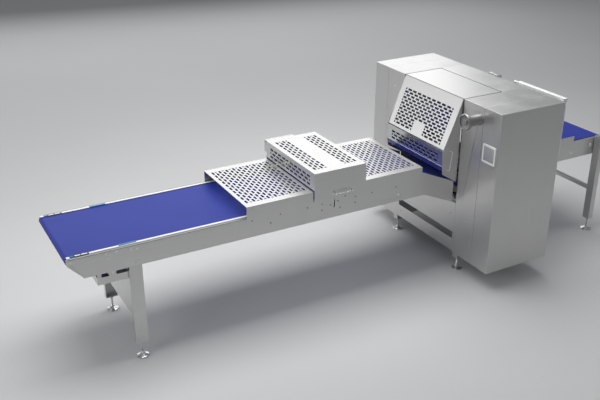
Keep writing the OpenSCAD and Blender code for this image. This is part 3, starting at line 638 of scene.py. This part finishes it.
# ---------------------------------------------------------------- handwheel
bm = bmesh.new()
tube = [
    (0, TUBE_R + 5), (4.5, TUBE_R + 5), (6, TUBE_R + 3.5), (6.4, TUBE_R + 0.6), (8, TUBE_R), (60, TUBE_R),
    (61, TUBE_R - 1), (64, TUBE_R - 1), (65, TUBE_R), (TUBE_L - 2, TUBE_R), (TUBE_L, TUBE_R - 2), (TUBE_L, 13)
]
add_lathe(bm, [(0, 13)] + tube, (0, WHEEL_Y, WHEEL_Z), (-1, 0, 0), 48)
settle(from_bmesh("wheel_housing", bm), DULL, "root", ["handwheel_housing"])
bm = bmesh.new()
wheel = [
    (-44, 0), (-44, 12), (1, 12), (1, 50), (0, 52), (0, 58), (2, 61), (6, 62), (26, 62), (29.5, 60), (30, 57),
    (29, 53.5), (15, 52), (14, 50), (14, 24), (16, 22), (24, 21.5), (26, 20), (26.5, 0)
]
add_lathe(bm, wheel, (-TUBE_L - 2, WHEEL_Y, WHEEL_Z), (-1, 0, 0), 56)
add_lathe(bm, [(0, 0), (0, 5), (6, 4.2), (10, 6.5), (26, 7.5), (32, 6), (34, 0)],
          (-TUBE_L - 31, WHEEL_Y, WHEEL_Z + 57), (-1, 0, 0), 18)
settle(from_bmesh("gap_setting_wheel", bm), DULL, "gap_handwheel", ["handwheel"])

# ---------------------------------------------------------------- raised cover's handle
handle_x, handle_l, handle_z = BOX_X0 + 169, 138, BOX_SEAM_Z + 36
ends = [(handle_x, -BOX_HALF, handle_z), (handle_x, -BOX_HALF - 30, handle_z),
        (handle_x + handle_l, -BOX_HALF - 30, handle_z), (handle_x + handle_l, -BOX_HALF, handle_z)]
bm = bmesh.new()
rod = [ends[0]] + bend(ends[1], ends[0], ends[2], 14) + bend(ends[2], ends[1], ends[3], 14) + [ends[3]]
add_tube(bm, rod, 5, 14)
for x in (handle_x, handle_x + handle_l):
    grip_collar = [(0, 11), (1.5, 11), (3, 9.5), (3.2, 6), (6, 5.2)]
    add_lathe(bm, grip_collar, (x, -BOX_HALF, handle_z), (0, -1, 0), 20)
settle(from_bmesh("cover_grip", bm), POLISHED, "raised_cover", ["box_handle"])

bm = bmesh.new()
add_block(bm, (BOX_X0 + 4, BOX_HALF - 1, BOX_Z - 20), (BOX_X0 + 232, BOX_HALF + 22, BOX_Z), 1.5, 3)
settle(from_bmesh("cover_far_lip", bm), STEEL_Y, "raised_cover")

# ---------------------------------------------------------------- operator panel
bm = bmesh.new()
out_s, in_s = HMI_S / 2, HMI_S / 2 - 16
rim = []
# half width, depth and corner radius of each ring, from the outer edge to the glass
for half, depth, round_r in ((out_s, 0, 9), (out_s, -4.2, 9), (out_s - 1.8, -6, 8), (in_s + 1.5, -6, 4),
                             (in_s, -4.6, 3), (in_s, -3.9, 3)):
    ring = []
    for cy, cz, turn in ((1, 1, 0), (-1, 1, 90), (-1, -1, 180), (1, -1, 270)):
        for k in range(5):
            a = math.radians(turn + 22.5 * k)
            y = HMI_Y + cy * (half - round_r) + round_r * math.cos(a)
            z = HMI_Z + cz * (half - round_r) + round_r * math.sin(a)
            ring.append(bm.verts.new(at(depth, y, z)))
    rim.append(ring)
for first, second in zip(rim, rim[1:]):
    for k in range(len(first)):
        n = (k + 1) % len(first)
        bm.faces.new([first[k], first[n], second[n], second[k]])
settle(from_bmesh("panel_bezel", bm), WHITE, "root", ["hmi_bezel"])

# ---------------------------------------------------------------- belt edge fittings at the infeed end
pads, bars, frame_and_shadow_lines, blocks, caps, strips, ledges = (bmesh.new() for _ in range(7))
rest = BELT_Z + 0.4
for side in (-1, 1):
    def span(x0, x1, z0, z1, y0=STRIP_IN, y1=STRIP_OUT, side=side):
        low, high = sorted((side * y0, side * y1))
        return (x0, low, z0), (x1, high, z1)

    for x0, x1 in ((STRIP_X0, LEG_X - 92), (LEG_X + 26, GUARD_X1)):
        add_block(strips, *span(x0, x1, rest, STRIP_Z + 1.4), 1.2, 3)
        # painted shadow: a thin black rubber line along the inner edge of each white strip stands for the
        # shadow gap beside the belt
        add_block(frame_and_shadow_lines, *span(x0, x1, rest, rest + 0.9, STRIP_IN - 5, STRIP_IN - 0.2), 0.3, 1)
    add_block(strips, *span(LEG_X - 91, LEG_X + 25, rest, STRIP_Z + 1.4, STRIP_OUT - 7), 1.2, 3)
    add_block(pads, *span(LEG_X - 91, LEG_X + 25, rest, STRIP_Z + 4, STRIP_IN - 6, STRIP_OUT - 7.3), 1.6, 3)
    for x in (LEG_X - 70, LEG_X + 4):
        add_lathe(pads, [(0, 5), (0.9, 4.6), (0.9, 3.2), (0.2, 2.6), (0.2, 0)],
                  (x, side * (STRIP_OUT - 14), STRIP_Z + 3.9), (0, 0, 1), 16)
    add_block(frame_and_shadow_lines, *span(-3044, -2950, rest, STRIP_Z, STRIP_IN - 4, STRIP_OUT + 2), 0.6, 1)
    for x0, x1 in ((-3038, -3002), (-2996, -2956)):
        add_block(bars, *span(x0, x1, STRIP_Z - 1, STRIP_Z + 2.6, STRIP_IN + 3, STRIP_OUT - 6), 1.2, 2)
    add_block(blocks, *span(-3069, -3047, rest, STRIP_Z + 2, STRIP_IN, STRIP_OUT - 4), 1.4, 2)
    add_block(caps, *span(-3094, -3072, rest, STRIP_Z + 1.6, STRIP_IN + 2, STRIP_OUT + 6), 1.8, 4)
    add_block(ledges, *span(INFEED_X + 14, GUARD_X1, PLATE_TOP, BELT_Z + 0.2, LEDGE_IN, HALF), 1.0, 3)
settle(from_bmesh("plate_ledges", ledges), DULL, "root", ["edge_strips"])
settle(from_bmesh("white_edge_strips", strips), WHITE, "root")
settle(from_bmesh("belt_pads", pads), CYAN, "root", ["edge_fittings"])
settle(from_bmesh("take_up_bars", bars), WHITE, "root")
# black pieces: the take-up frame and the painted shadow lines beside the strips
settle(from_bmesh("take_up_frame_and_shadow_lines", frame_and_shadow_lines), RUBBER, "root")
settle(from_bmesh("take_up_blocks", blocks), CYAN, "root")
settle(from_bmesh("strip_end_caps", caps), WHITE, "root")

# ---------------------------------------------------------------- hood's lower edge: bead and tinted curtain
bm = bmesh.new()
add_block(bm, (GRILLE_LOW_X - 4, -HOOD_HALF + 5, GRILLE_LOW_Z - 3.5),
          (GRILLE_LOW_X + 0.5, HOOD_HALF - 5, GRILLE_LOW_Z + 0.5), 1.4, 3)
settle(from_bmesh("hood_lower_bead", bm), WHITE, "hood")
bm = bmesh.new()
add_block(bm, (GRILLE_LOW_X + 1, -HOOD_HALF + 8, FLAP_Z - 4),
          (GRILLE_LOW_X + 4, HOOD_HALF - 8, GRILLE_LOW_Z + 14), 1.2, 3)
settle(from_bmesh("hood_curtain", bm), FLAP, "hood")

# ---------------------------------------------------------------- small parts on the head
seal_and_gap_shade = bmesh.new()
# the rear seal lies low enough for the hood to swing over it
add_block(seal_and_gap_shade, (HOOD_REAR + 0.5, -THROAT + 2, HEAD_TOP - 60),
          (HOOD_REAR + 8.5, THROAT - 2, HEAD_TOP - 35), 1.0, 2)
# painted shade: the black side strips fill the gaps beside the hood so that these gaps read uniformly dark
for side in (-1, 1):
    low, high = sorted((side * (HOOD_HALF + 1.2), side * (THROAT - 0.4)))
    add_block(seal_and_gap_shade, (1.5, low, 776), (9, high, HEAD_TOP - 5), 1.0, 2)
settle(from_bmesh("head_seals_and_gap_shade", seal_and_gap_shade), RUBBER, "root")
PULL_TOP = 1050
PULL_LOW = 894
PULL_REACH = 34
pull = bmesh.new()
for side in (-1, 1):
    y, out = side * HOOD_HALF, side * (HOOD_HALF + PULL_REACH)
    top_in, top_out = (-93, y, PULL_TOP), (-95, out, PULL_TOP)
    low_out, low_in = (-113, out, PULL_LOW), (-111, y, PULL_LOW)
    wire = [top_in] + bend(top_out, top_in, low_out, 9) + bend(low_out, top_out, low_in, 9) + [low_in]
    add_tube(pull, wire, 2.4, 10)
settle(from_bmesh("hood_side_pulls", pull), PALE, "hood")
seams = bmesh.new()
for side in (-1, 1):
    low, high = sorted((side * (COLUMN_OUT - 0.7), side * (COLUMN_OUT + 1.1)))
    add_block(seams, (-0.5, low, CABINET_Z + 6), (0.6, high, HEAD_TOP - 4), 0.2, 1)
settle(from_bmesh("cover_seams", seams), RUBBER, "root")
COLUMN_SCREWS = [(523, 1318), (-523, 470), (523, 470)]
PANEL_SCREWS = [(-340, 215), (-340, 480), (340, 215), (340, 480)]
SCREW_SIZE = 5
heads = bmesh.new()
for y, z in COLUMN_SCREWS + PANEL_SCREWS:
    add_lathe(heads, dome_head(SCREW_SIZE), (0, y, z), (-1, 0, 0), 16)
settle(from_bmesh("head_screws", heads), POLISHED, "root")
rear = bmesh.new()
gland = [(0, 9), (10, 9), (11, 12.5), (20, 12.5), (22, 10), (26, 10), (28, 12), (42, 12), (46, 8), (46, 0)]
add_lathe(rear, gland, (685, -229, 1446.5), (0, 1, 0), 24)
settle(from_bmesh("trunking_gland", rear), PALE, "root")
rear = bmesh.new()
add_block(rear, (HEAD_DEPTH + 30, -8, 1395), (HEAD_DEPTH + 83, 104, 1457), 3.5, 3)
add_block(rear, (HEAD_DEPTH + 0.2, 20, 1400), (HEAD_DEPTH + 31, 74, 1430), 2.0, 2)
settle(from_bmesh("rear_junction_box", rear), STEEL_X, "root")
rear = bmesh.new()
add_block(rear, (HEAD_DEPTH + 48, -COLUMN_OUT - 131, 1451.5),
          (HEAD_DEPTH + 86, -THROAT + 159, 1459.5), 2.0, 3)
settle(from_bmesh("trunking_lid", rear), WHITE, "root")
bm = bmesh.new()
for side in (-1, 1):
    low, high = sorted((side * (HALF + 0.2), side * (HALF + 13)))
    add_block(bm, (OUT_LEG_X - 86, low, 800), (OUT_LEG_X - 62, high, 826), 2.5, 3)
settle(from_bmesh("outfeed_side_blocks", bm), WHITE, "root")

# ---------------------------------------------------------------- CAD parts that stay, eased and finished
def keep(names, material, edge=0.8, segments=2):
    for name in names:
        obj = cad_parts[name]
        mesh = obj.data
        mesh.materials.clear()
        mesh.materials.append(material)
        if "custom_normal" in mesh.attributes:
            mesh.attributes.remove(mesh.attributes["custom_normal"])
        for face in mesh.polygons:
            face.use_smooth = True
            face.material_index = 0
        weld = obj.modifiers.new("join_corners", "WELD")
        weld.merge_threshold = 0.00001
        ease = obj.modifiers.new("ease_edges", "BEVEL")
        ease.width = edge * MM
        ease.segments = segments
        ease.limit_method = "ANGLE"
        ease.angle_limit = math.radians(38)
        obj.modifiers.new("even_shading", "WEIGHTED_NORMAL").keep_sharp = False


keep(["cover_near", "cover_far", "column_near", "column_far"], COVER, 2.2, 3)
keep(["front_panel", "rear_panel", "leg_panel", "hood_side_near", "hood_side_far", "infeed_legs",
      "outfeed_legs"], STEEL_Z, 0.9)
keep(["rear_top_cover", "hood_top", "box_wall_rear"], STEEL_Y, 1.0)
keep(["box_side_near", "box_side_far", "skirt_near", "skirt_far", "infeed_plate_near", "infeed_plate_far",
      "outfeed_plates", "infeed_bed", "outfeed_bed", "cross_bars", "belt_pan"], STEEL_X, 0.9)
keep(["infeed_belt", "outfeed_belt"], BELT, 0.7)
keep(["rear_trunking"], WHITE, 1.2)
keep(["hmi_screen"], SCREEN, 0.3)
keep(["inlet_flap"], FLAP, 0.6)
keep(["side_frames", "lower_bearings", "carriages"], IRON, 1.0)
keep(["lower_gearmotor", "upper_gearmotor"], PAINT, 3.0, 3)
keep(["upper_roller", "lower_roller", "lower_scraper", "infeed_end_roller", "infeed_drive_roller",
      "infeed_tail_roller", "tension_roller", "outfeed_tail_roller", "outfeed_drive_roller",
      "outfeed_end_roller"], POLISHED, 0.8)

# ---------------------------------------------------------------- floor, light and camera
floor_look = Look("studio_floor")
floor_cloud = floor_look.noise((0.5, 0.5, 0.5), 3.0, 0.5)
FLOOR = floor_look.shade(
    Base_Color=floor_look.blend(floor_cloud, rgb(0.56, 0.56, 0.56), rgb(0.61, 0.61, 0.61)),
    Roughness=0.85 + floor_cloud * 0.1,
)
bm = bmesh.new()
bmesh.ops.create_grid(bm, x_segments=4, y_segments=4, size=45.0)
floor = from_bmesh("studio_floor", bm)
floor.data.materials.append(FLOOR)
floor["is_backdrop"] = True

world = bpy.data.worlds.new("studio")
bpy.context.scene.world = world
world.use_nodes = True
world.node_tree.nodes["Background"].inputs["Color"].default_value = (0.80, 0.82, 0.86, 1.0)
world.node_tree.nodes["Background"].inputs["Strength"].default_value = 0.26


def soft_light(name, spot, aim, wide, high, power):
    data = bpy.data.lights.new(name, "AREA")
    data.shape = "RECTANGLE"
    data.size = wide
    data.size_y = high
    data.energy = power
    lamp = bpy.data.objects.new(name, data)
    bpy.context.scene.collection.objects.link(lamp)
    lamp.location = spot
    lamp.rotation_euler = (Vector(aim) - Vector(spot)).to_track_quat("-Z", "Y").to_euler()


soft_light("overhead", (-0.2, 0.5, 4.6), (-0.2, 0.2, 0.0), 6.0, 2.6, 215)
soft_light("far_card", (1.7, 9.0, 4.8), (0.0, 0.0, 0.9), 12.6, 6.0, 330)
soft_light("back_left_card", (-7.5, 7.5, 2.3), (0.9, 0.0, 1.2), 5.5, 3.6, 92)
soft_light("left_front", (-7.0, -1.5, 3.6), (0.0, 0.0, 0.7), 3.5, 3.0, 90)
soft_light("right_front", (6.0, -4.5, 3.2), (0.8, 0.0, 0.8), 3.0, 2.5, 30)

camera = bpy.data.objects.new("camera", bpy.data.cameras.new("camera"))
bpy.context.scene.collection.objects.link(camera)
camera.data.lens = 50.25
camera.data.sensor_width = 36.0
camera.data.sensor_fit = "HORIZONTAL"
camera.data.clip_end = 200.0
camera.location = (-3.2919, -5.1267, 3.435)
camera.rotation_euler = (math.radians(65.197), 0.0, math.radians(-28.894))
bpy.context.scene.camera = camera
bpy.context.scene.view_settings.view_transform = "Standard"

low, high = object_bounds()
